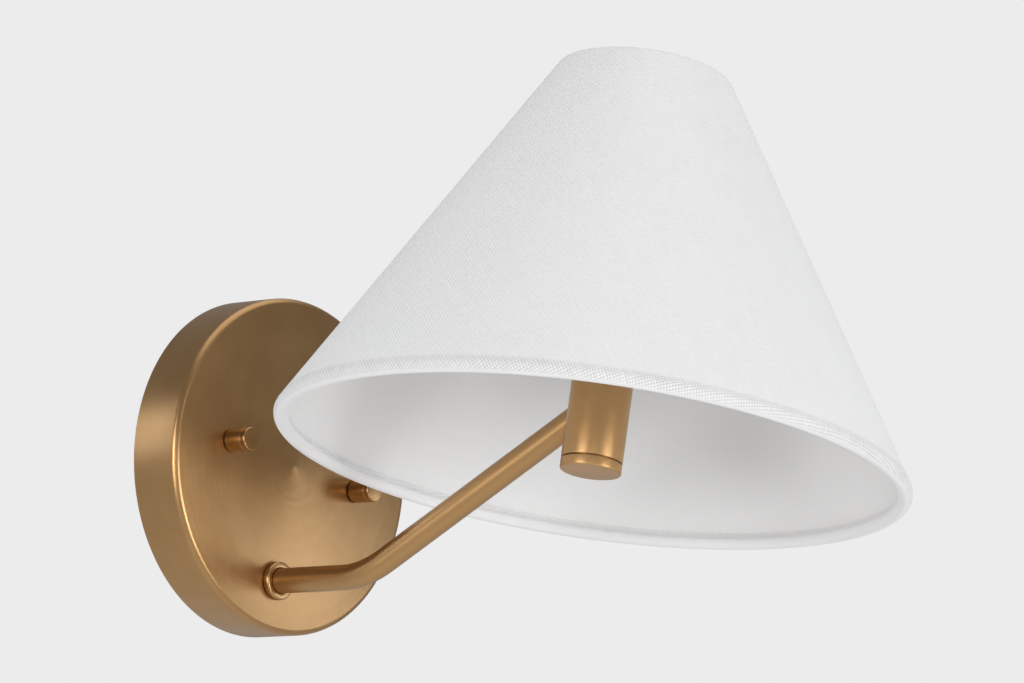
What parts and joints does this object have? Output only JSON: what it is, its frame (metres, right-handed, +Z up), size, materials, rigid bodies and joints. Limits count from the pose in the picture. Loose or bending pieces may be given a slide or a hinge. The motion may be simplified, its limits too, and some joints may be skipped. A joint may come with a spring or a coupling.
{
  "type": "swing arm wall sconce",
  "caption": "Wall sconce with a round spun canopy, a bent tube arm that turns in a collar, a slim lamp barrel and a white linen cone shade.",
  "frame": {"origin": "centre of the canopy on the wall plane, on the crossbar's back face", "axes": "+X to the right as seen facing the wall, +Y into the wall, +Z up; the lamp stands out towards -Y"},
  "size_m": [0.2292, 0.2818, 0.2031],
  "materials": {
    "satin_brass": "satin spun and brushed, clear lacquer",
    "zinc_steel": "zinc plated",
    "nickel": "nickel plated",
    "copper": "bare copper",
    "linen": "fine plain weave",
    "styrene": "matt sheet",
    "phenolic": "moulded",
    "nylon": "moulded",
    "green_zinc": "green passivated zinc",
    "black_lead": "wire insulation",
    "white_lead": "wire insulation",
    "orange_plastic": "moulded",
    "opal_glass": "opal, frosted"
  },
  "bodies": {
    "canopy": {"canopy_cover": "satin_brass", "mounting_crossbar": "zinc_steel", "canopy_stud_left": "zinc_steel", "canopy_stud_right": "zinc_steel", "stud_lock_nut_left": "zinc_steel", "stud_lock_nut_right": "zinc_steel", "ground_screw": "green_zinc", "ground_lug": "zinc_steel", "ground_wire": "copper", "swing_collar": "satin_brass", "collar_nut": "zinc_steel", "swing_stop_pin": "zinc_steel"},
    "swing_arm": {"arm_nipple": "zinc_steel", "thrust_washer": "nylon", "swing_stop_washer": "zinc_steel", "wave_washer": "zinc_steel", "arm_lock_nut": "zinc_steel", "arm_jam_nut": "zinc_steel", "swing_arm_tube": "satin_brass", "lead_black": "black_lead", "lead_white": "white_lead", "wire_connector_left": "orange_plastic", "wire_connector_right": "orange_plastic", "socket_barrel": "satin_brass", "barrel_end_cap": "satin_brass", "lampholder_body": "phenolic", "screw_shell": "nickel", "centre_contact": "copper", "barrel_tie_rod": "zinc_steel", "shade_fabric": "linen", "shade_liner": "styrene", "bottom_wire_ring": "zinc_steel", "top_wire_ring": "zinc_steel", "shade_carrier_ring": "zinc_steel", "shade_spoke_1": "zinc_steel", "shade_spoke_2": "zinc_steel", "shade_spoke_3": "zinc_steel"},
    "bulb": {"bulb_glass": "opal_glass", "bulb_cap": "nickel"},
    "shade_ring": {"shade_retaining_ring": "phenolic"},
    "left_cap_nut": {"cap_nut_left": "satin_brass"},
    "right_cap_nut": {"cap_nut_right": "satin_brass"}
  },
  "joints": [
    {"name": "arm_swing", "type": "hinge", "parent": "canopy", "child": "swing_arm", "pos_m": [0, -0.0218, -0.0446], "axis": [0, 1, 0], "range_deg": [-45, 45]},
    {"name": "shade_ring_turn", "type": "hinge", "parent": "swing_arm", "child": "shade_ring", "pos_m": [0, -0.1672, 0.039], "axis": [0, 0, 1], "range_deg": [0, 720]},
    {"name": "bulb_out", "type": "slide", "parent": "swing_arm", "child": "bulb", "axis": [0, 0, 1], "range_m": [0, 0.13]},
    {"name": "left_cap_nut_off", "type": "slide", "parent": "canopy", "child": "left_cap_nut", "axis": [0, -1, 0], "range_m": [0, 0.012]},
    {"name": "right_cap_nut_off", "type": "slide", "parent": "canopy", "child": "right_cap_nut", "axis": [0, -1, 0], "range_m": [0, 0.012]}
  ]
}
